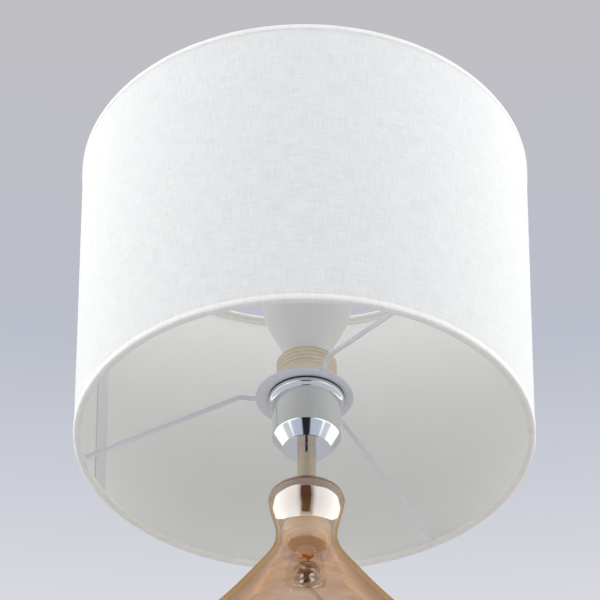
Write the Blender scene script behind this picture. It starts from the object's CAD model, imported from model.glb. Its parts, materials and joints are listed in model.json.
import math
import json
import bpy
import numpy as np
from mathutils import Matrix, Vector, noise

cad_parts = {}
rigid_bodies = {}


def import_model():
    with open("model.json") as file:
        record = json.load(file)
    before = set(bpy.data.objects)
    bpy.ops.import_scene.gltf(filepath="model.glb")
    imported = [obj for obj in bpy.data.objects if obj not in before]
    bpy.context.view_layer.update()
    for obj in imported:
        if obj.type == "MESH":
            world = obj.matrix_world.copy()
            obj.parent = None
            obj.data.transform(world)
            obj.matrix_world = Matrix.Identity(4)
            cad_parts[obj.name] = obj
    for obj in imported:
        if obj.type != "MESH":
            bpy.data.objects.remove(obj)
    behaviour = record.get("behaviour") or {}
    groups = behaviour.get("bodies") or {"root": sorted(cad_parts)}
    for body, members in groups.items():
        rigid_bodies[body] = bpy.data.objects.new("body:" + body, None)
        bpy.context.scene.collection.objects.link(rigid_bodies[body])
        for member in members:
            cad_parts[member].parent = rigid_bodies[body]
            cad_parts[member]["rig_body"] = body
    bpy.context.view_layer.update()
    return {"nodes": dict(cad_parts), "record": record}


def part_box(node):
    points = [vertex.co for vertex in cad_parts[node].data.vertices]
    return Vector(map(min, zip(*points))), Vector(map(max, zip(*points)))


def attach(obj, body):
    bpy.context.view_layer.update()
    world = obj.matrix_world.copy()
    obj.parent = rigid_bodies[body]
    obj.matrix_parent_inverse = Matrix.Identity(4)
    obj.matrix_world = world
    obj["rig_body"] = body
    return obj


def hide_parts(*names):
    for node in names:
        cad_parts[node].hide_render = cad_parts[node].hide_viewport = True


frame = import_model()
nodes = frame["nodes"]
scene = bpy.context.scene
mm = 0.001
print("frame loaded:", len(nodes), "nodes")


# reading sizes from the frame

def outlineOf(node, heights, inner=False):
    # radius of a turned node at each height, outside or inside, from where its mesh edges cross that height
    mesh = nodes[node].data
    place = np.array([v.co for v in mesh.vertices])
    radius, height = np.hypot(place[:, 0], place[:, 1]), place[:, 2]
    ends = np.array([e.vertices for e in mesh.edges])
    low, high = height[ends].min(axis=1), height[ends].max(axis=1)
    found = []
    for z in heights:
        crossing = ends[(low <= z) & (high >= z) & (high > low)]
        a, b = crossing[:, 0], crossing[:, 1]
        share = (z - height[a]) / (height[b] - height[a])
        at = radius[a] + (radius[b] - radius[a]) * share
        found.append(float(at.min() if inner else at.max()))
    return found


def between(a, b, count):
    return [a + (b - a) * i / (count - 1) for i in range(count)]


def evened(outline, times):
    # an outline read from flat facets, with their small steps smoothed out of its radii
    radii = [r for r, z in outline]
    for _ in range(times):
        radii = radii[:1] + [(a + 2 * b + c) / 4 for a, b, c in zip(radii, radii[1:], radii[2:])] + radii[-1:]
    return [(r, z) for r, (_, z) in zip(radii, outline)]


def boxOf(node):
    low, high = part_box(node)
    return low, high, high.x     # the last is the radius of a turned node


# making pieces

def pickNothing():
    if bpy.context.object and bpy.context.object.mode != "OBJECT":
        bpy.ops.object.mode_set(mode="OBJECT")
    bpy.ops.object.select_all(action="DESELECT")


def pick(piece):
    pickNothing()
    piece.select_set(True)
    bpy.context.view_layer.objects.active = piece


def settle(piece, smoothAngle=35):
    # doubles merged, faces outwards, smooth but for real edges, and the place kept in the mesh
    pick(piece)
    bpy.ops.object.transform_apply(location=True, rotation=True, scale=True)
    bpy.ops.object.mode_set(mode="EDIT")
    bpy.ops.mesh.select_all(action="SELECT")
    bpy.ops.mesh.remove_doubles(threshold=0.000002)
    bpy.ops.mesh.normals_make_consistent(inside=False)
    bpy.ops.object.mode_set(mode="OBJECT")
    bpy.ops.object.shade_smooth_by_angle(angle=math.radians(smoothAngle))
    return piece


poleRadius = 0.1 * mm     # a ring this small closes a turned piece at its top or bottom


def turnUp(name, rings, segments, smoothAngle=35, closed=True):
    # a circle is extruded from ring to ring, moved up and scaled; a closed outline comes back to its
    # first ring, an open one is closed with a small face at each pole
    radius, height = rings[0]
    pickNothing()
    bpy.ops.mesh.primitive_circle_add(vertices=segments, radius=radius, location=(0, 0, height))
    piece = bpy.context.object
    piece.name = name
    bpy.ops.object.mode_set(mode="EDIT")
    bpy.ops.mesh.select_all(action="SELECT")
    if not closed:
        bpy.ops.mesh.edge_face_add()
    path = rings + rings[:1] if closed else rings
    for (r0, z0), (r1, z1) in zip(path, path[1:]):
        bpy.ops.mesh.extrude_edges_move(TRANSFORM_OT_translate={"value": (0, 0, z1 - z0)})
        bpy.ops.transform.resize(value=(r1 / r0, r1 / r0, 1), center_override=(0, 0, 0))
    if not closed:
        bpy.ops.mesh.edge_face_add()
    bpy.ops.object.mode_set(mode="OBJECT")
    return settle(piece, smoothAngle)


def softened(piece, width, segments=3, angle=30):
    # a real edge radius, applied
    pick(piece)
    bevel = piece.modifiers.new("edge", "BEVEL")
    bevel.width, bevel.segments, bevel.limit_method = width, segments, "ANGLE"
    bevel.angle_limit = math.radians(angle)
    bevel.harden_normals = False
    bpy.ops.object.modifier_apply(modifier=bevel.name)
    bpy.ops.object.shade_smooth_by_angle(angle=math.radians(35))
    return piece


def rounded(piece, levels):
    # subdivided into an even curve, applied
    pick(piece)
    smooth = piece.modifiers.new("round", "SUBSURF")
    smooth.levels = smooth.render_levels = levels
    bpy.ops.object.modifier_apply(modifier=smooth.name)
    bpy.ops.object.shade_smooth_by_angle(angle=math.radians(50))
    return piece


def moveEach(piece, change):
    # moves every vertex to where change says
    for vertex in piece.data.vertices:
        vertex.co = change(vertex.co.copy())
    piece.data.update()
    return piece


hang = Vector((-1.45 * mm, 0, 0))     # the shade hangs this far to one side on its loose ring


def finishAs(piece, body, slot, material, *stoodFor):
    if body == "shade":
        moveEach(piece, lambda place: place + hang)
    piece.data.materials.clear()
    piece.data.materials.append(material)
    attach(piece, body)
    if stoodFor:
        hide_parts(*stoodFor)
    return piece


def mergedCopy(node, name, edge=0.0, smoothAngle=35):
    # the frame's own shape with its triangles joined, so that it can be bevelled and shaded smoothly
    source = nodes[node]
    piece = bpy.data.objects.new(name, source.data.copy())
    scene.collection.objects.link(piece)
    settle(piece, smoothAngle)
    pick(piece)
    bpy.ops.object.mode_set(mode="EDIT")
    bpy.ops.mesh.select_all(action="SELECT")
    bpy.ops.mesh.dissolve_limited(angle_limit=math.radians(1))
    bpy.ops.object.mode_set(mode="OBJECT")
    if edge:
        softened(piece, edge, 2)
    return piece


# colours and nodes

def shade(hexColour):
    parts = [int(hexColour[i:i + 2], 16) / 255 for i in (1, 3, 5)]
    linear = [c / 12.92 if c <= 0.04045 else ((c + 0.055) / 1.055) ** 2.4 for c in parts]
    return (*linear, 1.0)


def newMaterial(name):
    material = bpy.data.materials.new(name)
    material.use_nodes = True
    material.node_tree.nodes.clear()
    return material, material.node_tree


def addNode(tree, kind, settings=None, inputs=None):
    node = tree.nodes.new("ShaderNode" + kind)
    for key, value in (settings or {}).items():
        setattr(node, key, value)
    for key, value in (inputs or {}).items():
        if isinstance(value, bpy.types.NodeSocket):
            tree.links.new(value, node.inputs[key])
        else:
            node.inputs[key].default_value = value
    return node


def output(tree, surface):
    addNode(tree, "OutputMaterial", inputs={"Surface": surface})


def objectPlace(tree, scale=(1, 1, 1), turn=0.0):
    place = addNode(tree, "TexCoord")
    moved = addNode(tree, "Mapping", {}, {0: place.outputs["Object"], "Scale": scale,
                                          "Rotation": (0, 0, turn)})
    return moved.outputs[0]


def colourRamp(tree, factor, stops):
    ramp = addNode(tree, "ValToRGB", inputs={0: factor})
    band = ramp.color_ramp
    while len(band.elements) < len(stops):
        band.elements.new(1.0)
    for element, (place, colour) in zip(band.elements, stops):
        element.position, element.color = place, colour
    return ramp.outputs[0]


def math2(tree, operation, a, b=0.0):
    return addNode(tree, "Math", {"operation": operation}, {0: a, 1: b}).outputs[0]


# materials

seamAt = math.radians(157.6)     # where the drum's seam stands, round from +X
linen = {"thread": 1.1 * mm, "slub": 1.0 * mm, "slubLength": 14 * mm, "white": "#f8f8f5", "shadow": "#ececea",
         "through": 0.34, "liningThrough": 0.35, "bump": 0.16, "radius": 153 * mm}


def clothCoordinates(tree):
    # metres round the drum and up it, with the pattern's break at the seam
    place = objectPlace(tree, turn=math.pi - seamAt)
    apart = addNode(tree, "SeparateXYZ", inputs={0: place})
    angle = math2(tree, "ARCTAN2", apart.outputs["Y"], apart.outputs["X"])
    along = math2(tree, "MULTIPLY", angle, linen["radius"])
    return along, apart.outputs["Z"]


def threads(tree, across, along, pitch, slub, slubLength):
    # one set of threads: even ridges, and slubs that run along them
    ridge = math2(tree, "SINE", math2(tree, "MULTIPLY", across, 2 * math.pi / pitch))
    place = addNode(tree, "CombineXYZ", inputs={0: math2(tree, "DIVIDE", across, slub),
                                               1: math2(tree, "DIVIDE", along, slubLength)})
    slubs = addNode(tree, "TexNoise", {"noise_dimensions": "2D"},
                    {"Vector": place.outputs[0], "Scale": 1.0, "Detail": 2.0, "Roughness": 0.6})
    return ridge, slubs.outputs[0]


def wovenLinen(name, light, dark, through, bump, soft=0.85):
    # plain-woven linen blend: matt, slightly uneven threads, a little light comes through
    material, tree = newMaterial(name)
    along, up = clothCoordinates(tree)
    warp, warpSlub = threads(tree, along, up, linen["thread"], linen["slub"], linen["slubLength"])
    weft, weftSlub = threads(tree, up, along, linen["thread"], linen["slub"], linen["slubLength"])
    weave = math2(tree, "MULTIPLY", warp, weft)
    slubs = math2(tree, "ADD", warpSlub, weftSlub)
    height = math2(tree, "MULTIPLY_ADD", weave, 0.12)
    tree.links.new(slubs, height.node.inputs[2])
    tone = colourRamp(tree, math2(tree, "MULTIPLY", height, 0.5), [(0.30, shade(dark)), (0.62, shade(light))])
    relief = addNode(tree, "Bump", {}, {"Height": height, "Strength": bump, "Distance": 0.0006})
    cloth = addNode(tree, "BsdfPrincipled", {}, {"Base Color": tone, "Roughness": soft,
                    "Specular IOR Level": 0.25, "Sheen Weight": 0.15, "Sheen Roughness": 0.5,
                    "Normal": relief.outputs[0]})
    glow = addNode(tree, "BsdfTranslucent", {}, {"Color": tone, "Normal": relief.outputs[0]})
    mix = addNode(tree, "MixShader", {}, {0: through, 1: cloth.outputs[0], 2: glow.outputs[0]})
    output(tree, mix.outputs[0])
    return material


def makeChrome():
    # bright chrome plate on spun steel: a neutral mirror with hair-fine polishing haze
    material, tree = newMaterial("polishedChrome")
    haze = addNode(tree, "TexNoise", {}, {"Vector": objectPlace(tree), "Scale": 160.0, "Detail": 3.0})
    rough = addNode(tree, "MapRange", {}, {0: haze.outputs[0], 3: 0.08, 4: 0.15})
    metal = addNode(tree, "BsdfPrincipled", {}, {"Base Color": shade("#dddfe2"), "Metallic": 1.0,
                    "Roughness": rough.outputs[0]})
    output(tree, metal.outputs[0])
    return material


def makeSatinMetal(name, colour, roughness, grain=400.0):
    # plated steel or brass as it comes from the barrel: soft highlights, faint mottling
    material, tree = newMaterial(name)
    mottle = addNode(tree, "TexNoise", {}, {"Vector": objectPlace(tree), "Scale": grain, "Detail": 4.0})
    rough = addNode(tree, "MapRange", {}, {0: mottle.outputs[0], 3: roughness - 0.08, 4: roughness + 0.12})
    relief = addNode(tree, "Bump", {}, {"Height": mottle.outputs[0], "Strength": 0.08, "Distance": 0.0003})
    metal = addNode(tree, "BsdfPrincipled", {}, {"Base Color": shade(colour), "Metallic": 1.0,
                    "Roughness": rough.outputs[0], "Normal": relief.outputs[0]})
    output(tree, metal.outputs[0])
    return material


def makePlastic(name, colour, roughness, grain=900.0, relief=0.05, coat=0.0, tone=None):
    # moulded plastic: even colour with a fine spark-eroded grain
    material, tree = newMaterial(name)
    place = objectPlace(tree)
    fine = addNode(tree, "TexNoise", {}, {"Vector": place, "Scale": grain, "Detail": 3.0})
    cloud = addNode(tree, "TexNoise", {}, {"Vector": place, "Scale": 60.0, "Detail": 2.0})
    colourMix = colourRamp(tree, cloud.outputs[0], [(0.35, shade(tone or colour)), (0.65, shade(colour))])
    bump = addNode(tree, "Bump", {}, {"Height": fine.outputs[0], "Strength": relief, "Distance": 0.0003})
    rough = addNode(tree, "MapRange", {}, {0: fine.outputs[0], 3: roughness - 0.06, 4: roughness + 0.08})
    body = addNode(tree, "BsdfPrincipled", {}, {"Base Color": colourMix, "Roughness": rough.outputs[0],
                   "IOR": 1.5, "Coat Weight": coat, "Coat Roughness": 0.08, "Normal": bump.outputs[0]})
    output(tree, body.outputs[0])
    return material


lustre = {"clear": "#fff1df", "amber": "#d8963c", "mirror": "#fbf8f2", "edge": "#dcb27c", "least": 0.17,
          "most": 0.92, "neck": 0.12, "neckZ": (0.2445, 0.2525), "wave": 38.0, "streak": (16, 16, 42)}


def makeLustreGlass():
    # blown amber glass with a fired-on metal lustre, heaviest round the neck: part mirror, part clear,
    # with slow waves and darker swirls; only the face that is met first reflects, so that a wall counts once
    material, tree = newMaterial("amberLustreGlass")
    place = objectPlace(tree)
    waves = addNode(tree, "TexNoise", {}, {"Vector": place, "Scale": lustre["wave"], "Detail": 1.5,
                                           "Distortion": 0.6})
    bump = addNode(tree, "Bump", {}, {"Height": waves.outputs[0], "Strength": 0.35, "Distance": 0.002})
    facing = addNode(tree, "LayerWeight", {}, {"Blend": 0.35}).outputs["Facing"]
    swirl = addNode(tree, "TexNoise", {}, {"Vector": objectPlace(tree, lustre["streak"]), "Scale": 1.0,
                                           "Detail": 3.0, "Distortion": 1.8})
    depth = math2(tree, "ADD", math2(tree, "MULTIPLY", facing, 0.85),
                  math2(tree, "MULTIPLY", swirl.outputs[0], 0.75))
    tint = colourRamp(tree, depth, [(0.52, shade(lustre["clear"])), (0.92, shade(lustre["amber"]))])
    sheen = colourRamp(tree, facing, [(0.30, shade(lustre["mirror"])), (0.85, shade(lustre["edge"]))])
    height = addNode(tree, "SeparateXYZ", inputs={0: place}).outputs["Z"]
    low, high = lustre["neckZ"]
    neck = addNode(tree, "MapRange", {"interpolation_type": "SMOOTHSTEP"},
                   {0: height, 1: low, 2: high, 3: 0.0, 4: lustre["neck"]})
    edge = addNode(tree, "MapRange", {}, {0: facing, 3: lustre["least"], 4: lustre["most"]})
    share = addNode(tree, "Math", {"operation": "ADD", "use_clamp": True},
                    {0: neck.outputs[0], 1: edge.outputs[0]})
    inside = addNode(tree, "NewGeometry").outputs["Backfacing"]
    first = math2(tree, "MULTIPLY", share.outputs[0], math2(tree, "SUBTRACT", 1.0, inside))
    clear = addNode(tree, "BsdfTransparent", {}, {"Color": tint})
    through = addNode(tree, "BsdfTransparent", {}, {"Color": (1, 1, 1, 1)})
    mirror = addNode(tree, "BsdfGlossy", {}, {"Color": sheen, "Roughness": 0.02, "Normal": bump.outputs[0]})
    mix = addNode(tree, "MixShader", {}, {0: first, 1: clear.outputs[0], 2: mirror.outputs[0]})
    wall = addNode(tree, "MixShader", {}, {0: inside, 1: mix.outputs[0], 2: through.outputs[0]})
    output(tree, wall.outputs[0])
    return material


def makeEnamel():
    # white stoving enamel on steel: smooth, slightly blue, rounded over the edges
    return makePlastic("whiteEnamel", "#e1e4e8", 0.32, grain=500.0, relief=0.04, coat=0.3)


def makeOpal():
    # opal polycarbonate diffuser: milky white, soft gloss
    material, tree = newMaterial("opalDiffuser")
    cloud = addNode(tree, "TexNoise", {}, {"Vector": objectPlace(tree), "Scale": 30.0, "Detail": 2.0})
    tone = colourRamp(tree, cloud.outputs[0], [(0.3, shade("#f7f8f7")), (0.7, shade("#fbfbfa"))])
    body = addNode(tree, "BsdfPrincipled", {}, {"Base Color": tone, "Roughness": 0.42, "IOR": 1.45})
    output(tree, body.outputs[0])
    return material


def makeFelt():
    # dense needled felt: dull, fibrous
    material, tree = newMaterial("greyFelt")
    fibres = addNode(tree, "TexNoise", {}, {"Vector": objectPlace(tree), "Scale": 900.0, "Detail": 5.0})
    tone = colourRamp(tree, fibres.outputs[0], [(0.35, shade("#2c2c2e")), (0.65, shade("#4a4a4d"))])
    bump = addNode(tree, "Bump", {}, {"Height": fibres.outputs[0], "Strength": 0.6, "Distance": 0.0006})
    body = addNode(tree, "BsdfPrincipled", {}, {"Base Color": tone, "Roughness": 0.95, "Sheen Weight": 0.3,
                   "Specular IOR Level": 0.1, "Normal": bump.outputs[0]})
    output(tree, body.outputs[0])
    return material


materials = {
    "chrome": makeChrome(),
    "glass": makeLustreGlass(),
    "linen": wovenLinen("wovenLinen", linen["white"], linen["shadow"], linen["through"], linen["bump"]),
    "lining": wovenLinen("laminatedLining", "#f9f9f7", "#f7f7f3", linen["liningThrough"], 0.05, 0.6),
    "trim": wovenLinen("rolledLinenTrim", "#f6f5ef", "#eceae2", 0.10, 0.3),
    "seam": makePlastic("liningOverlap", "#d4d5d6", 0.5),
    "enamel": makeEnamel(),
    "beige": makePlastic("mouldedThermoset", "#f3e6d2", 0.42, tone="#ebdcc4"),
    "opal": makeOpal(),
    "zinc": makeSatinMetal("zincPlate", "#b9bcc0", 0.34),
    "yellowZinc": makeSatinMetal("yellowZincPlate", "#b89a6c", 0.55),
    "brass": makeSatinMetal("pressedBrass", "#c9a25c", 0.3),
    "iron": makeSatinMetal("castIron", "#3b3b3c", 0.62, 150.0),
    "nickel": makeSatinMetal("nickelPlate", "#d9d5cc", 0.2),
    "capEdge": makeSatinMetal("amberNickelPlate", "#a08a7c", 0.15, 60.0),
    "stem": makeSatinMetal("warmNickelPlate", "#d8c8b2", 0.12, 60.0),
    "ivory": makePlastic("ivoryNylon", "#f0d9a8", 0.28, tone="#e6cb92"),
    "honey": makePlastic("honeyNylon", "#e9b25e", 0.3, tone="#dba24c"),
    "paleNylon": makePlastic("whiteNylon", "#f2f0f4", 0.25, tone="#e8e4ea"),
    "rubber": makePlastic("blackRubber", "#1d1d1e", 0.7, relief=0.2),
    "silicone": makePlastic("clearSilicone", "#8f6a58", 0.35),
    "ceramic": makePlastic("unglazedSteatite", "#e4e0d2", 0.6),
    "vinyl": makePlastic("goldVinyl", "#b58a55", 0.25, relief=0.02, coat=0.5, tone="#a97d49"),
    "abs": makePlastic("whiteAbs", "#dddddb", 0.3, grain=1200.0, relief=0.03, coat=0.2),
    "strap": makePlastic("strapNylon", "#2b2b2d", 0.55, relief=0.2),
    "felt": makeFelt(),
    "blackPlastic": makePlastic("blackGlass", "#141414", 0.2),
}
print("materials made:", len(materials))


# camera

rimLow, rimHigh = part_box("bottom_trim")[0].z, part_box("top_trim")[1].z
cameraSet = {"aside": hang.x, "forward": 1.27485, "below": 0.92325, "pitch": 39.35, "turn": 0.141,
             "roll": 0.161, "lens": 145.03, "sensor": 36}


def makeCamera():
    data = bpy.data.cameras.new("lampCamera")
    data.lens, data.sensor_width = cameraSet["lens"], cameraSet["sensor"]
    camera = bpy.data.objects.new("lampCamera", data)
    scene.collection.objects.link(camera)
    turn, pitch, roll = (math.radians(cameraSet[k]) for k in ("turn", "pitch", "roll"))
    ahead = Vector((-math.sin(turn) * math.cos(pitch), math.cos(turn) * math.cos(pitch), math.sin(pitch)))
    level = Vector((math.cos(turn), math.sin(turn), 0))
    upright = level.cross(ahead)
    right = level * math.cos(roll) + upright * math.sin(roll)
    up = upright * math.cos(roll) - level * math.sin(roll)
    place = Vector((cameraSet["aside"], -cameraSet["forward"], rimLow - cameraSet["below"]))
    camera.matrix_world = Matrix.Translation(place) @ Matrix((right, up, -ahead)).transposed().to_4x4()
    scene.camera = camera


makeCamera()


# flex

flex = {"diameter": 0.0056, "coilCentre": (0.095, 0.150), "coilInside": 0.0225, "coilPitch": 0.0058,
        "coilTurns": 3, "lowZ": 0.0036, "highZ": 0.0094, "pointsPerTurn": 16}
lampRoute = [(0, 0.101, 0.009), (0, 0.121, 0.009), (-0.008, 0.144, 0.0054), (-0.028, 0.163, 0.0032),
             (-0.051, 0.178, 0.0029), (-0.068, 0.199, 0.0029), (-0.065, 0.226, 0.0029),
             (-0.046, 0.244, 0.0034), (-0.024, 0.246, 0.0075), (-0.006, 0.246, 0.0075)]
wallRoute = [(0.054, 0.246, 0.0075), (0.072, 0.246, 0.0075), (0.098, 0.241, 0.0034), (0.1209, 0.222, 0.0030),
             (0.1339, 0.196, 0.0033), (0.1349, 0.166, 0.0036)]
plugRoute = [(0.1349, 0.130, 0.0094), (0.1329, 0.112, 0.00685), (0.1329, 0.098, 0.00685)]


def coilPoints():
    # one layer wound inwards, a quarter turn that climbs at the inside, and a second layer wound outwards
    perTurn, turns = flex["pointsPerTurn"], flex["coilTurns"]
    keep = 1 / math.cos(math.pi / perTurn) ** 2     # a NURBS of these points runs a little inside them
    outside = flex["coilInside"] + turns * flex["coilPitch"]
    points = []
    for i in range(2 * turns * perTurn + 1):
        turn = i / perTurn
        climb = min(max((turn - turns) * 4, 0), 1)
        if turn <= turns:
            radius = outside - turn * flex["coilPitch"]
        else:
            back = max(turn - turns - 0.25, 0) / (turns - 0.25)
            radius = flex["coilInside"] + back * (outside - flex["coilInside"])
        angle = -2 * math.pi * turn
        x, y = flex["coilCentre"]
        z = flex["lowZ"] + climb * (flex["highZ"] - flex["lowZ"])
        points.append((x + radius * keep * math.cos(angle), y + radius * keep * math.sin(angle), z))
    return points


def flexCurve(name, points, diameter):
    data = bpy.data.curves.new(name, "CURVE")
    data.dimensions = "3D"
    data.bevel_depth, data.bevel_resolution = diameter / 2, 5
    data.resolution_u = 8
    data.use_fill_caps = True
    line = data.splines.new("NURBS")
    line.points.add(len(points) - 1)
    for point, place in zip(line.points, points):
        point.co = (*place, 1.0)
    line.order_u = 3
    line.use_endpoint_u = True
    piece = bpy.data.objects.new(name, data)
    scene.collection.objects.link(piece)
    return piece


lampFlex = finishAs(flexCurve("lampFlex", lampRoute, flex["diameter"]), "lamp", "flex_sheath",
                    materials["vinyl"], "flex_lamp_side")
wallFlex = finishAs(flexCurve("wallFlex", wallRoute + coilPoints() + plugRoute, flex["diameter"]), "lamp",
                    "flex_sheath", materials["vinyl"], "flex_wall_side", "flex_coil", "flex_plug_end")
print("flex laid")

# foot and glass

nippleBore, looseBore = 5.1 * mm, 5.2 * mm     # holes round the threaded nipple, close and loose
footSet = {"around": 160, "skin": 1.4 * mm, "edge": 0.4 * mm, "flat": 40 * mm,
           "levels": (0.0, 0.12, 0.25, 0.38, 0.5, 0.62, 0.74, 0.85, 0.93)}


def makeFoot():
    # spun steel shell: the side is read from the frame, the edges are turned over
    low, high, radius = boxOf("base_foot")
    skin = footSet["skin"]
    heights = [low.z + (high.z - low.z) * share for share in footSet["levels"]]
    side = list(zip(outlineOf("base_foot", [z + 0.1 * mm for z in heights]), heights))
    topRadius = outlineOf("base_foot", [high.z - 0.2 * mm])[0]
    top = [(topRadius + 0.5 * mm, high.z - 0.6 * mm), (topRadius - 0.6 * mm, high.z - 0.1 * mm),
           (topRadius - 2 * mm, high.z), (footSet["flat"], high.z), (looseBore, high.z)]
    under = [(looseBore, high.z - skin), (topRadius - 2 * mm, high.z - skin),
             (radius - 9 * mm, low.z + 12 * mm), (radius - 3 * mm, low.z + 6 * mm), (radius - skin, low.z)]
    foot = turnUp("footShell", side + top + under, footSet["around"])
    softened(foot, footSet["edge"], 2, 40)
    return finishAs(foot, "lamp", "chrome", materials["chrome"], "base_foot")


glassSet = {"around": 192, "levels": 46, "lip": 1.7 * mm, "insideFrom": 5.2 * mm, "floor": 4 * mm,
            "bore": 5.15 * mm}


def makeGlass():
    # blown bottle: outside and inside read from the frame, lip fire-polished round
    low, high, widest = boxOf("glass_body")
    heights = between(low.z + 0.2 * mm, high.z - glassSet["lip"], glassSet["levels"])
    outside = evened(list(zip(outlineOf("glass_body", heights), heights)), 1)
    innerHeights = between(high.z - glassSet["lip"], low.z + glassSet["insideFrom"], glassSet["levels"])
    inside = evened(list(zip(outlineOf("glass_body", innerHeights, True), innerHeights)), 1)
    lipOut, lipIn = outside[-1][0], inside[0][0]
    middle, half = (lipOut + lipIn) / 2, (lipOut - lipIn) / 2
    lip = [(middle + half * math.cos(a), heights[-1] + half * math.sin(a))
           for a in between(0.35, math.pi - 0.35, 7)]
    bore, floorZ = glassSet["bore"], low.z + glassSet["floor"]
    floor = [(inside[-1][0] * 0.75, floorZ), (inside[-1][0] * 0.4, floorZ), (bore, floorZ)]
    stand = [(bore, low.z), (outside[0][0] * 0.5, low.z), (outside[0][0] - 1.5 * mm, low.z)]
    bottle = turnUp("glassBottle", outside + lip + inside + floor + stand, glassSet["around"], 60)
    return finishAs(bottle, "lamp", "lustre_glass", materials["glass"], "glass_body")


bungSet = {"around": 96, "facets": 10, "collar": 4.5 * mm}


def makeBung():
    # turned nylon stopper, stepped in below the neck's waist
    low, high, radius = boxOf("neck_bung")
    slim = outlineOf("neck_bung", [low.z + 3 * mm])[0]
    rings = [(nippleBore, low.z), (slim - 1 * mm, low.z), (slim - 0.2 * mm, low.z + 0.5 * mm),
             (slim, low.z + 1.2 * mm), (slim, low.z + 6.8 * mm), (radius - 0.5 * mm, low.z + 8.5 * mm),
             (radius - 0.5 * mm, high.z - 7 * mm), (radius - 0.1 * mm, high.z - 6 * mm),
             (radius - 0.1 * mm, high.z - 1 * mm), (radius - 0.7 * mm, high.z), (nippleBore, high.z)]
    bung = turnUp("neckBung", rings, bungSet["around"])
    return finishAs(bung, "lamp", "fitting_plastic", materials["ivory"], "neck_bung")


def makeSpacer():
    # moulded spacer under the bung: a pale collar with flats, and a honey-coloured drum
    low, high, radius = boxOf("clamp_spacer")
    base = high.z - bungSet["collar"]
    flats = [(nippleBore, base), (radius - 0.3 * mm, base), (radius, base + 0.5 * mm),
             (radius, high.z - 1 * mm), (radius - 1 * mm, high.z - 0.1 * mm), (nippleBore, high.z - 0.1 * mm)]
    collar = turnUp("spacerCollar", flats, bungSet["facets"], 20)
    finishAs(collar, "lamp", "fitting_plastic", materials["paleNylon"])
    drum = [(nippleBore, low.z), (radius - 2.2 * mm, low.z), (radius - 1 * mm, low.z + 0.6 * mm),
            (radius - 0.4 * mm, low.z + 2 * mm), (radius - 0.3 * mm, base - 0.6 * mm),
            (radius - 0.8 * mm, base - 0.1 * mm), (nippleBore, base - 0.1 * mm)]
    spacer = turnUp("clampSpacer", drum, bungSet["around"])
    return finishAs(spacer, "lamp", "fitting_plastic", materials["honey"], "clamp_spacer")


def makeNeckCap():
    # pressed disc on the lip, its edge turned down a little
    low, high, radius = boxOf("neck_cap")
    rings = [(looseBore, low.z), (radius - 0.5 * mm, low.z), (radius - 0.05 * mm, low.z + 0.4 * mm),
             (radius - 0.05 * mm, high.z - 0.8 * mm), (radius - 0.8 * mm, high.z - 0.1 * mm),
             (radius - 3 * mm, high.z), (looseBore, high.z)]
    cap = turnUp("neckCap", rings, 128)
    softened(cap, 0.15 * mm, 2)
    return finishAs(cap, "lamp", "chrome", materials["capEdge"], "neck_cap")


def makeStem():
    # drawn tube with its ends broken
    low, high, radius = boxOf("stem_tube")
    rings = [(nippleBore, low.z), (radius - 0.3 * mm, low.z), (radius, low.z + 0.3 * mm),
             (radius, high.z - 0.3 * mm), (radius - 0.3 * mm, high.z), (nippleBore, high.z)]
    stem = turnUp("stemTube", rings, bungSet["around"])
    return finishAs(stem, "lamp", "satin_nickel", materials["stem"], "stem_tube")


cupSet = {"around": 160, "cone": 9.2 * mm, "coneRings": (0, 0.04, 0.5, 0.96, 1), "wallAt": 20 * mm,
          "metal": 1.2 * mm,
          # out from the wall and down from the rim, in mm: the lip flares, then rolls over
          "lip": ((0, 6.8), (0, 6.2), (0.08, 5.75), (0.4, 5.35), (1.2, 4.7), (2.05, 4.05), (2.4, 3.65),
                  (2.6, 3.25), (2.72, 2.8))}


def makeCup():
    # deep-drawn cup: flat disc, cone, straight wall and a lip that flares and rolls
    low, high, lipRadius = boxOf("holder_cup")
    z, top, metal = low.z, high.z, cupSet["metal"]
    coneTop = z + cupSet["cone"]
    wall, discRadius = outlineOf("holder_cup", [z + cupSet["wallAt"], z + 0.1 * mm])
    coneEnd = (wall - 0.25 * mm, coneTop - 0.35 * mm)
    coneStart = (discRadius + 0.15 * mm, z + 0.2 * mm)
    cone = [tuple(a + (b - a) * share for a, b in zip(coneStart, coneEnd)) for share in cupSet["coneRings"]]
    rings = [(looseBore, z), (discRadius * 0.6, z), (discRadius - 0.8 * mm, z), (discRadius - 0.25 * mm, z)]
    rings += cone + [(wall, coneTop + 0.3 * mm), (wall, coneTop + 0.9 * mm)]
    rings += [(wall + out * mm, top - down * mm) for out, down in cupSet["lip"]]
    rings += [(lipRadius - 0.07 * mm, top - 2.1 * mm), (lipRadius - 0.05 * mm, top - 1.5 * mm),
              (lipRadius - 0.5 * mm, top - 1.35 * mm), (wall + 0.4 * mm, top - 1.25 * mm),
              (wall - 1.1 * mm, top - 4.0 * mm), (wall - metal, coneTop), (discRadius - 0.4 * mm, z + metal),
              (looseBore, z + metal)]
    cup = turnUp("holderCup", rings, cupSet["around"], 24)
    finishAs(cup, "lamp", "chrome", materials["chrome"], "holder_cup")
    gasket = [(wall + 0.45 * mm, top - 1.2 * mm), (lipRadius - 0.2 * mm, top - 1.3 * mm),
              (lipRadius - 0.1 * mm, top - 1.15 * mm), (lipRadius - 0.1 * mm, top - 0.1 * mm),
              (lipRadius - 0.2 * mm, top), (wall + 0.45 * mm, top)]
    return finishAs(turnUp("lipGasket", gasket, cupSet["around"]), "lamp", "rubber", materials["rubber"])


# lampholder

threadSet = {"pitch": 3.05 * mm, "depth": 1.0 * mm, "width": 1.25 * mm, "first": 4.4 * mm, "turns": 3.35,
             "around": 128, "step": 0.3 * mm, "wall": 2.5 * mm}


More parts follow.
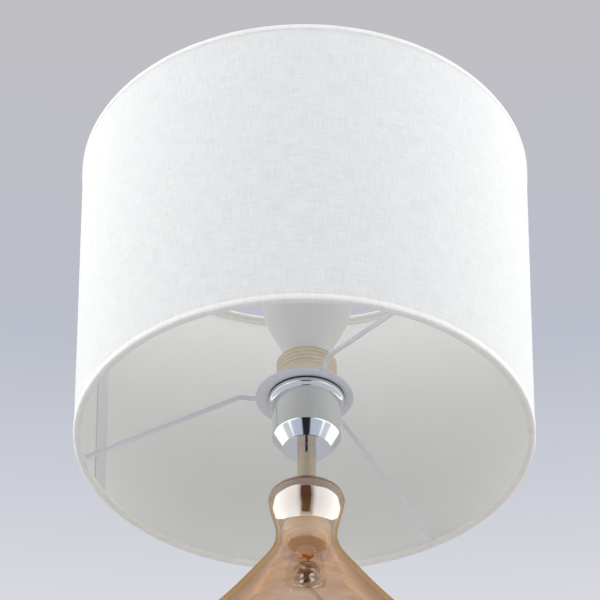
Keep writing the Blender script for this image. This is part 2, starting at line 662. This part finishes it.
def makeSkirt():
    # moulded skirt with a right-hand thread whose last turn runs out at the front
    low, high, flange = boxOf("holder_skirt")
    radius = outlineOf("holder_skirt", [high.z - 2 * mm])[0]
    inside = radius - threadSet["wall"]
    span = threadSet["pitch"] * (threadSet["turns"] + 0.6) + threadSet["first"]
    fine = between(high.z - span, high.z - 1.0 * mm, int(span / threadSet["step"]))
    rings = [(flange, low.z), (flange, low.z + 2 * mm), (radius, low.z + 2 * mm)]
    rings += [(radius, z) for z in fine]
    rings += [(radius, high.z - 0.5 * mm), (radius - 0.5 * mm, high.z), (inside + 0.3 * mm, high.z),
              (inside, high.z - 0.4 * mm), (inside, low.z)]
    skirt = turnUp("holderSkirt", rings, threadSet["around"], 40)
    lowest = fine[0] - 0.1 * mm

    def carve(place):
        distance = math.hypot(place.x, place.y)
        if distance < radius - 0.1 * mm or not lowest < place.z < high.z - 0.8 * mm:
            return place
        around = (math.atan2(place.y, place.x) + math.pi / 2) / (2 * math.pi)    # 0 at the front
        down = (high.z - threadSet["first"] - place.z) / threadSet["pitch"] + around
        turn = round(down)
        off = abs(down - turn) * threadSet["pitch"]
        along = turn - around               # turns travelled since the first groove's front
        fade = min(max((threadSet["turns"] - 0.28 - along) / 0.12, 0), 1) if along > 0 else 1
        share = max(1 - off / (threadSet["width"] / 2), 0) ** 0.7 * fade
        less = 1 - threadSet["depth"] * share / distance
        return Vector((place.x * less, place.y * less, place.z))

    moveEach(skirt, carve)
    return finishAs(skirt, "lamp", "holder_plastic", materials["beige"], "holder_skirt")


nutSet = {"notches": 24, "perNotch": 8, "depth": 0.6 * mm}


def makeRingNut():
    # moulded ring nut: notched edge for the fingers, a raised collar on top
    low, high, radius = boxOf("shade_ring_nut")
    bore = outlineOf("shade_ring_nut", [(low.z + high.z) / 2], True)[0]
    rings = [(bore, low.z), (radius - 0.3 * mm, low.z), (radius, low.z + 0.3 * mm),
             (radius, high.z - 0.5 * mm), (radius - 0.5 * mm, high.z - 0.2 * mm),
             (radius - 2.4 * mm, high.z - 0.2 * mm), (radius - 2.9 * mm, high.z - 0.9 * mm),
             (bore + 2.4 * mm, high.z - 0.9 * mm), (bore + 1.9 * mm, high.z), (bore, high.z)]
    nut = turnUp("shadeRingNut", rings, nutSet["notches"] * nutSet["perNotch"])
    step = 2 * math.pi / nutSet["notches"]

    def notch(place):
        distance = math.hypot(place.x, place.y)
        away = abs((math.atan2(place.y, place.x) + step / 2) % step - step / 2) / step
        if distance < radius - 1.2 * mm or away > 0.15:
            return place
        less = 1 - nutSet["depth"] / distance
        return Vector((place.x * less, place.y * less, place.z))

    moveEach(nut, notch)
    return finishAs(nut, "ring_nut", "holder_plastic", materials["beige"], "shade_ring_nut")


def makeCarrier():
    # stamped ring that the arms are welded to
    low, high, radius = boxOf("carrier_ring")
    bore = outlineOf("carrier_ring", [(low.z + high.z) / 2], True)[0] + hang.length
    edge = 0.25 * mm
    rings = [(bore, low.z + edge), (bore + edge, low.z), (radius - edge, low.z), (radius, low.z + edge),
             (radius, high.z - edge), (radius - edge, high.z), (bore + edge, high.z), (bore, high.z - edge)]
    ring = turnUp("carrierRing", rings, 160)
    return finishAs(ring, "shade", "white_enamel", materials["enamel"], "carrier_ring")


bulbSet = {"around": 48, "levels": 14, "swell": 1.6 * mm}


def makeBulb():
    # blown-moulded diffuser, closed at the top; the taper swells a little between the neck and the globe
    low, high, widest = boxOf("bulb_globe")
    heights = between(low.z + 0.1 * mm, high.z - 0.5 * mm, bulbSet["levels"])
    side = evened(list(zip(outlineOf("bulb_globe", heights), heights)), 2)
    taper = high.z - low.z - widest
    side = [(r + bulbSet["swell"] * math.sin(math.pi * min((z - low.z) / taper, 1)), z) for r, z in side]
    rings = [(poleRadius, low.z), (side[0][0] * 0.7, low.z)] + side + [(poleRadius, high.z)]
    globe = rounded(turnUp("bulbGlobe", rings, bulbSet["around"], 60, closed=False), 2)
    return finishAs(globe, "bulb", "opal_bulb", materials["opal"], "bulb_globe")


# shade

shadeSet = {"around": 256, "levels": 24, "cloth": 0.55 * mm, "rollOut": 4.5 * mm, "rollIn": 6.5 * mm,
            "foldWidth": 9 * mm, "overlapWidth": 14.5 * mm, "strip": 0.5 * mm, "wander": 0.35 * mm}
shadeLow, shadeHigh, _ = boxOf("shade_fabric")
rBottom, rTop = outlineOf("shade_fabric", [shadeLow.z + 0.1 * mm, shadeHigh.z - 0.1 * mm])


def drumRadius(z):
    return rBottom + (rTop - rBottom) * (z - shadeLow.z) / (shadeHigh.z - shadeLow.z)


def drumShell(name, outset, thickness, low, high):
    heights = between(low, high, shadeSet["levels"])
    outside = [(drumRadius(z) + outset, z) for z in heights]
    inside = [(drumRadius(z) + outset - thickness, z) for z in reversed(heights)]
    return turnUp(name, outside + inside, shadeSet["around"], 50)


def drumStrip(name, outset, thickness, low, high, width, edge):
    # upright strip that lies on the drum, its long edges rounded
    pickNothing()
    bpy.ops.mesh.primitive_cube_add(size=1, location=(0, 0, 0))
    strip = bpy.context.object
    strip.name = name
    bpy.ops.object.mode_set(mode="EDIT")
    bpy.ops.mesh.select_all(action="SELECT")
    bpy.ops.transform.resize(value=(thickness, width, high - low))
    bpy.ops.mesh.subdivide(number_cuts=7)
    bpy.ops.object.mode_set(mode="OBJECT")
    middle = (low + high) / 2

    def wrap(place):
        z = place.z + middle
        sunk = edge * max(abs(place.y) / (width / 2) - 0.6, 0) / 0.4 if place.x > 0 else 0
        radius = drumRadius(z) + outset + (place.x - sunk)
        angle = seamAt + place.y / radius
        return Vector((radius * math.cos(angle), radius * math.sin(angle), z))

    moveEach(strip, wrap)
    return settle(strip, 50)


def rollTrim(name, top):
    # a tape of the same linen, rolled tightly over the rim and its wire
    inset, t = 3.1 * mm, 0.45 * mm
    rim = rimHigh if top else rimLow
    up = -1 if top else 1

    def at(out, rise):
        z = rim + up * rise
        return drumRadius(z) + out, z

    rings = [at(0.02 * mm, shadeSet["rollOut"]), at(t, shadeSet["rollOut"] - 0.3 * mm), at(t, 2.5 * mm),
             at(0.42 * mm, 1.2 * mm), at(0.05 * mm, 0.45 * mm), at(-0.9 * mm, 0.05 * mm),
             at(-inset + 0.2 * mm, 0.0), at(-inset - 1.0 * mm, 0.25 * mm),
             at(-inset - 1.75 * mm, 1.0 * mm), at(-inset - 1.9 * mm, 2.0 * mm),
             at(-inset - 1.6 * mm, 3.1 * mm), at(-2.9 * mm, 4.1 * mm), at(-2.0 * mm, 5.0 * mm),
             at(-1.75 * mm, shadeSet["rollIn"] - 0.3 * mm), at(-1.3 * mm, shadeSet["rollIn"]),
             at(-1.22 * mm, shadeSet["rollIn"] - 0.8 * mm), at(-1.5 * mm, 4.3 * mm),
             at(-1.25 * mm, 0.5 * mm), at(0.0, 0.5 * mm)]
    trim = turnUp(name, rings, shadeSet["around"], 60)

    def uneven(place):
        # hand-rolled cloth: the free edges wander a little
        rise = abs(place.z - rim)
        wander = noise.noise(Vector((place.x, place.y, rim)) * 55) * min(rise / (6 * mm), 1)
        return Vector((place.x, place.y, place.z + wander * shadeSet["wander"]))

    moveEach(trim, uneven)
    return trim


def makeShade():
    # linen glued to a stiff lining, with the linen folded over and the lining lapped at the seam
    cover = drumShell("linenCover", 0, shadeSet["cloth"], shadeLow.z, shadeHigh.z)
    finishAs(cover, "shade", "shade_linen", materials["linen"], "shade_fabric")
    lining = drumShell("shadeLining", -0.6 * mm, shadeSet["cloth"], shadeLow.z, shadeHigh.z)
    finishAs(lining, "shade", "shade_lining", materials["lining"], "shade_liner")
    low, high = rimLow + shadeSet["rollIn"] + 0.4 * mm, rimHigh - shadeSet["rollIn"] - 0.4 * mm
    overlap = drumStrip("liningOverlap", -1.45 * mm, shadeSet["strip"], low, high, shadeSet["overlapWidth"],
                        -0.2 * mm)
    finishAs(overlap, "shade", "shade_lining", materials["seam"], "shade_seam")
    low, high = rimLow + shadeSet["rollOut"] - 0.4 * mm, rimHigh - shadeSet["rollOut"] + 0.4 * mm
    fold = drumStrip("linenFold", 0.2 * mm, shadeSet["strip"], low, high, shadeSet["foldWidth"], 0.3 * mm)
    finishAs(fold, "shade", "shade_linen", materials["linen"])
    for top, name, node in ((False, "bottomRoll", "bottom_trim"), (True, "topRoll", "top_trim")):
        finishAs(rollTrim(name, top), "shade", "shade_trim", materials["trim"], node)


def makeRimWire(name, node):
    # drawn wire, welded into a ring inside the rolled rim
    low, high, outside = boxOf(node)
    half = (high.z - low.z) / 2
    rings = [(outside - half + half * math.cos(a), low.z + half + half * math.sin(a))
             for a in between(0, 2 * math.pi, 17)]
    wire = turnUp(name, rings[:-1], shadeSet["around"], 60)
    return finishAs(wire, "shade", "white_enamel", materials["enamel"], node)


armSet = {"angles": (-67.5, 52.5, 172.5), "wire": 3.2 * mm, "bendAt": 43 * mm, "bendRise": 2.5 * mm,
          "bendLength": 4 * mm, "weldIn": 0.6 * mm, "weldRise": 2.9 * mm, "end": 0.35 * mm}


def makeArm(number, angle):
    # drawn wire: along the carrier ring, a pressed bend, and down to the wire in the bottom rim
    ringHigh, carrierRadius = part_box("carrier_ring")[1].z, boxOf("carrier_ring")[2]
    z = ringHigh + armSet["wire"] / 2
    start = boxOf("shade_ring_nut")[2] + 0.5 * mm
    wireRadius = boxOf("bottom_ring_wire")[2]
    endRadius = wireRadius - armSet["wire"] + armSet["weldIn"]
    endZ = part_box("bottom_ring_wire")[0].z + armSet["weldRise"]
    c, s = math.cos(math.radians(angle)), math.sin(math.radians(angle))
    first, edge, end = Vector((start, z)), Vector((carrierRadius + 1 * mm, z)), Vector((endRadius, endZ))
    corner = Vector((armSet["bendAt"], z + armSet["bendRise"]))
    eased = [first, edge, corner + (edge - corner).normalized() * armSet["bendLength"], corner,
             corner + (end - corner).normalized() * armSet["bendLength"],
             corner.lerp(end, 0.4), corner.lerp(end, 0.8), end]
    arm = flexCurve("spiderArm%d" % number, [(p.x * c, p.x * s, p.y) for p in eased], armSet["wire"])
    pick(arm)
    bpy.ops.object.convert(target="MESH")
    arm = settle(bpy.context.object, 40)
    softened(arm, armSet["end"], 2, 60)
    return finishAs(arm, "shade", "white_enamel", materials["enamel"], "spider_arm_%d" % number)


makeFoot()
makeGlass()
print("foot and glass blown")
makeBung()
makeSpacer()
makeNeckCap()
makeStem()
makeCup()
makeSkirt()
makeRingNut()
makeCarrier()
makeBulb()
print("lampholder and bulb made")
makeShade()
makeRimWire("bottomRimWire", "bottom_ring_wire")
makeRimWire("topRimWire", "top_ring_wire")
for number, angle in enumerate(armSet["angles"], 1):
    makeArm(number, angle)
print("shade made")


# strain relief and plug

glandSet = {"around": 56, "ribs": 7, "rib": 0.8 * mm, "collar": 3.3 * mm}


def alongY(piece, x, z):
    # a piece turned up round Z is laid along Y
    return moveEach(piece, lambda place: Vector((place.x + x, place.z, z - place.y)))


def makeGland():
    # moulded strain relief: a collar at the wall, then a taper with bending ribs
    low, high, collar = boxOf("cord_gland")
    bore, wallY = flex["diameter"] / 2, boxOf("base_foot")[2] + 0.3 * mm
    neck, edge = collar - 1.5 * mm, 0.5 * mm
    rings = [(bore, low.y), (neck, low.y), (neck, wallY), (collar - edge, wallY), (collar, wallY + edge),
             (collar, wallY + glandSet["collar"] - edge), (collar - edge, wallY + glandSet["collar"])]
    first, last = wallY + glandSet["collar"] + 1 * mm, high.y - 1 * mm
    step = (last - first) / glandSet["ribs"]
    for number in range(glandSet["ribs"]):
        start = first + number * step
        radius = collar - 1 * mm - (collar - bore - 2 * mm) * (number + 0.5) / glandSet["ribs"]
        thin = radius - glandSet["rib"]
        rings += [(thin, start), (thin, start + step * 0.3), (radius, start + step * 0.42),
                  (radius - 0.1 * mm, start + step * 0.88)]
    rings += [(bore + 0.9 * mm, last), (bore + 0.9 * mm, high.y - 0.3 * mm), (bore + 0.5 * mm, high.y),
              (bore, high.y)]
    gland = alongY(turnUp("cordGland", rings, glandSet["around"]), 0, (low.z + high.z) / 2)
    return finishAs(gland, "lamp", "switch_plastic", materials["abs"], "cord_gland")


plugSet = {"sleeve": 9.5 * mm, "around": 40, "grips": 4, "gripFrom": 10 * mm, "gripStep": 3.4 * mm,
           "gripLength": 15 * mm, "gripShorter": 1.2 * mm, "gripWidth": 1.5 * mm, "gripRise": 0.5 * mm}


def makePlugDetail():
    # insulating sleeves on the pins' roots, and finger grips across the body
    bodyLow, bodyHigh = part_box("plug_body")
    pinLow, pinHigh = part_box("plug_pins")
    middle, z = (pinLow.x + pinHigh.x) / 2, (pinLow.z + pinHigh.z) / 2
    radius = (pinHigh.z - pinLow.z) / 2
    pieces = []
    for name, side in (("plugSleeveLeft", -1), ("plugSleeveRight", 1)):
        front = bodyLow.y - plugSet["sleeve"]
        rings = [(radius - 0.1 * mm, front), (radius + 0.02 * mm, front + 0.1 * mm),
                 (radius + 0.05 * mm, front + 1 * mm), (radius + 0.05 * mm, bodyLow.y + 1 * mm),
                 (radius - 0.1 * mm, bodyLow.y + 1 * mm)]
        sleeve = turnUp(name, rings, plugSet["around"])
        alongY(sleeve, middle + side * ((pinHigh.x - pinLow.x) / 2 - radius), z)
        pieces.append(finishAs(sleeve, "lamp", "switch_plastic", materials["blackPlastic"]))
    pickNothing()
    bars = []
    for number in range(plugSet["grips"]):
        y = bodyLow.y + plugSet["gripFrom"] + number * plugSet["gripStep"]
        width = plugSet["gripLength"] - number * plugSet["gripShorter"]
        size = (width, plugSet["gripWidth"], 2 * plugSet["gripRise"])
        bpy.ops.mesh.primitive_cube_add(size=1, location=(middle, y, bodyHigh.z), scale=size)
        bpy.ops.object.transform_apply(location=True, rotation=True, scale=True)
        bars.append(softened(bpy.context.object, plugSet["gripRise"] * 0.8, 3))
    pickNothing()
    for bar in bars:
        bar.select_set(True)
    bpy.context.view_layer.objects.active = bars[0]
    bpy.ops.object.join()
    bars[0].name = "plugGrips"
    pieces.append(finishAs(bars[0], "lamp", "switch_plastic", materials["abs"]))
    return pieces


makeGland()
plugDetail = makePlugDetail()
print("strain relief and plug made")


# fittings in the frame's own shape: those with an edge width (mm) are copied, joined up and have their
# edges broken

fittings = {
    "base_plate": ("zinc", 0), "base_weight": ("iron", 0), "base_nipple": ("zinc", 0),
    "base_lock_nut": ("zinc", 0.3), "seat_gasket": ("rubber", 0.3), "base_washer": ("zinc", 0.3),
    "base_nut": ("zinc", 0.4), "felt_pad": ("felt", 0.4), "neck_gasket": ("silicone", 0.15),
    "clamp_washer": ("yellowZinc", 0.3), "clamp_nut": ("yellowZinc", 0.4), "neck_nipple": ("yellowZinc", 0),
    "holder_nut": ("zinc", 0.3), "holder_insert": ("ceramic", 0), "screw_shell": ("brass", 0),
    "centre_contact": ("brass", 0), "terminal_screws": ("zinc", 0), "inner_lead": ("vinyl", 0),
    "terminal_block": ("ceramic", 0.3), "flex_tail": ("vinyl", 0), "bulb_cap": ("nickel", 0),
    "bulb_insulator": ("blackPlastic", 0), "bulb_tip": ("nickel", 0),
    "coil_tie": ("strap", 0.15), "switch_base": ("abs", 0.35), "switch_cover": ("abs", 0.35),
    "switch_screws": ("zinc", 0), "switch_contacts": ("brass", 0), "rocker_pin": ("nickel", 0),
    "switch_rocker": ("abs", 0.45), "plug_body": ("abs", 0.3), "plug_pins": ("nickel", 0),
}
slots = {part["node"]: part["material_slot"] for part in frame["record"]["subparts"]}
for node, (material, edge) in fittings.items():
    if edge:
        first, *rest = node.split("_")
        copied = mergedCopy(node, first + "".join(word.title() for word in rest), edge * mm)
        finishAs(copied, nodes[node]["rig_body"], slots[node], materials[material], node)
    else:
        nodes[node].data.materials.clear()
        nodes[node].data.materials.append(materials[material])
print("fittings finished")

print("flex declared")


# floor, backdrop and light

studio = {"slab": (1.8, 1.7, 0.03), "slabFront": -0.30, "slabUnder": 0.2 * mm, "slabEdge": 6 * mm,
          "panelRadiance": 1.28, "panelSize": (3.2, 2.45), "panelFoot": -0.25, "panelAway": 0.95,
          "panelTurn": 80, "panelFade": 0.45, "card": (1.05, 3.4), "cardAt": (-0.06, -1.9, -0.8),
          "sky": [(0.30, shade("#c8d1e1")), (0.50, shade("#c9ccd6")), (0.66, shade("#e0e1e7")),
                  (0.755, shade("#dedfe5")), (0.81, shade("#bbbfcb")), (0.865, shade("#c0bec2"))]}


def makeFloor():
    # pale slab that the lamp and its flex lie on
    width, depth, thick = studio["slab"]
    pickNothing()
    place = (0, studio["slabFront"] + depth / 2, -thick / 2 - studio["slabUnder"])
    bpy.ops.mesh.primitive_cube_add(size=1, location=place)
    floor = bpy.context.object
    floor.name = "floorSlab"
    floor.scale = (width, depth, thick)
    bpy.ops.object.transform_apply(location=True, rotation=True, scale=True)
    softened(floor, studio["slabEdge"], 4)
    material, tree = newMaterial("paleFloor")
    cloud = addNode(tree, "TexNoise", {}, {"Vector": objectPlace(tree), "Scale": 6.0, "Detail": 4.0})
    tone = colourRamp(tree, cloud.outputs[0], [(0.3, shade("#b8b9bc")), (0.7, shade("#bebec1"))])
    body = addNode(tree, "BsdfPrincipled", {}, {"Base Color": tone, "Roughness": 0.6})
    output(tree, body.outputs[0])
    floor.data.materials.append(material)


def makePanel(name, side):
    # big soft panel that runs along one side of the lamp
    data = bpy.data.lights.new(name, "AREA")
    data.shape = "RECTANGLE"
    data.size, data.size_y = studio["panelSize"]
    data.energy = studio["panelRadiance"] * math.pi * data.size * data.size_y
    data.use_nodes = True
    tree = data.node_tree
    tree.nodes.clear()
    place = addNode(tree, "NewGeometry").outputs["Parametric"]
    across = addNode(tree, "SeparateXYZ", inputs={0: place}).outputs["X"]
    away = math2(tree, "ABSOLUTE", math2(tree, "SUBTRACT", across, 0.5))
    fade = addNode(tree, "MapRange", {"interpolation_type": "SMOOTHSTEP"},
                   {0: away, 1: 0.30, 2: 0.5, 3: 1.0, 4: studio["panelFade"]})
    glow = addNode(tree, "Emission", {}, {"Strength": fade.outputs[0]})
    addNode(tree, "OutputLight", {}, {"Surface": glow.outputs[0]})
    panel = bpy.data.objects.new(name, data)
    turn = math.radians(studio["panelTurn"]) * side
    place = Vector((math.sin(turn), -math.cos(turn), 0)) * studio["panelAway"]
    panel.location = place + Vector((0, 0, studio["panelFoot"] + studio["panelSize"][1] / 2))
    panel.rotation_euler = (Vector((-place.x, -place.y, 0))).to_track_quat("-Z", "Y").to_euler()
    panel.visible_camera = False
    scene.collection.objects.link(panel)


def makeCard():
    # black card behind the camera: the dark gap between the panels
    pickNothing()
    bpy.ops.mesh.primitive_plane_add(size=1, location=studio["cardAt"], rotation=(math.radians(90), 0, 0))
    card = bpy.context.object
    card.name = "blackCard"
    card.scale = (*studio["card"], 1)
    bpy.ops.object.transform_apply(location=True, rotation=True, scale=True)
    material, tree = newMaterial("blackVelvet")
    body = addNode(tree, "BsdfPrincipled", {}, {"Base Color": shade("#080808"), "Roughness": 0.9})
    output(tree, body.outputs[0])
    card.data.materials.append(material)
    card.visible_camera = False
    card.visible_transmission = False


def makeBackdrop():
    # paper backdrop and ceiling as one soft run of greys
    world = bpy.data.worlds.new("backdrop")
    scene.world = world
    world.use_nodes = True
    tree = world.node_tree
    tree.nodes.clear()
    place = addNode(tree, "TexCoord")
    apart = addNode(tree, "SeparateXYZ", inputs={0: place.outputs["Generated"]})
    height = addNode(tree, "MapRange", {}, {0: apart.outputs["Z"], 1: -1.0, 2: 1.0})
    tone = colourRamp(tree, height.outputs[0], studio["sky"])
    background = addNode(tree, "Background", {}, {"Color": tone, "Strength": 1.0})
    addNode(tree, "OutputWorld", {}, {"Surface": background.outputs[0]})


makeFloor()
makePanel("leftPanel", -1)
makePanel("rightPanel", 1)
makeCard()
makeBackdrop()
scene.view_settings.view_transform = "Standard"
scene.cycles.use_denoising = True
print("studio lit")
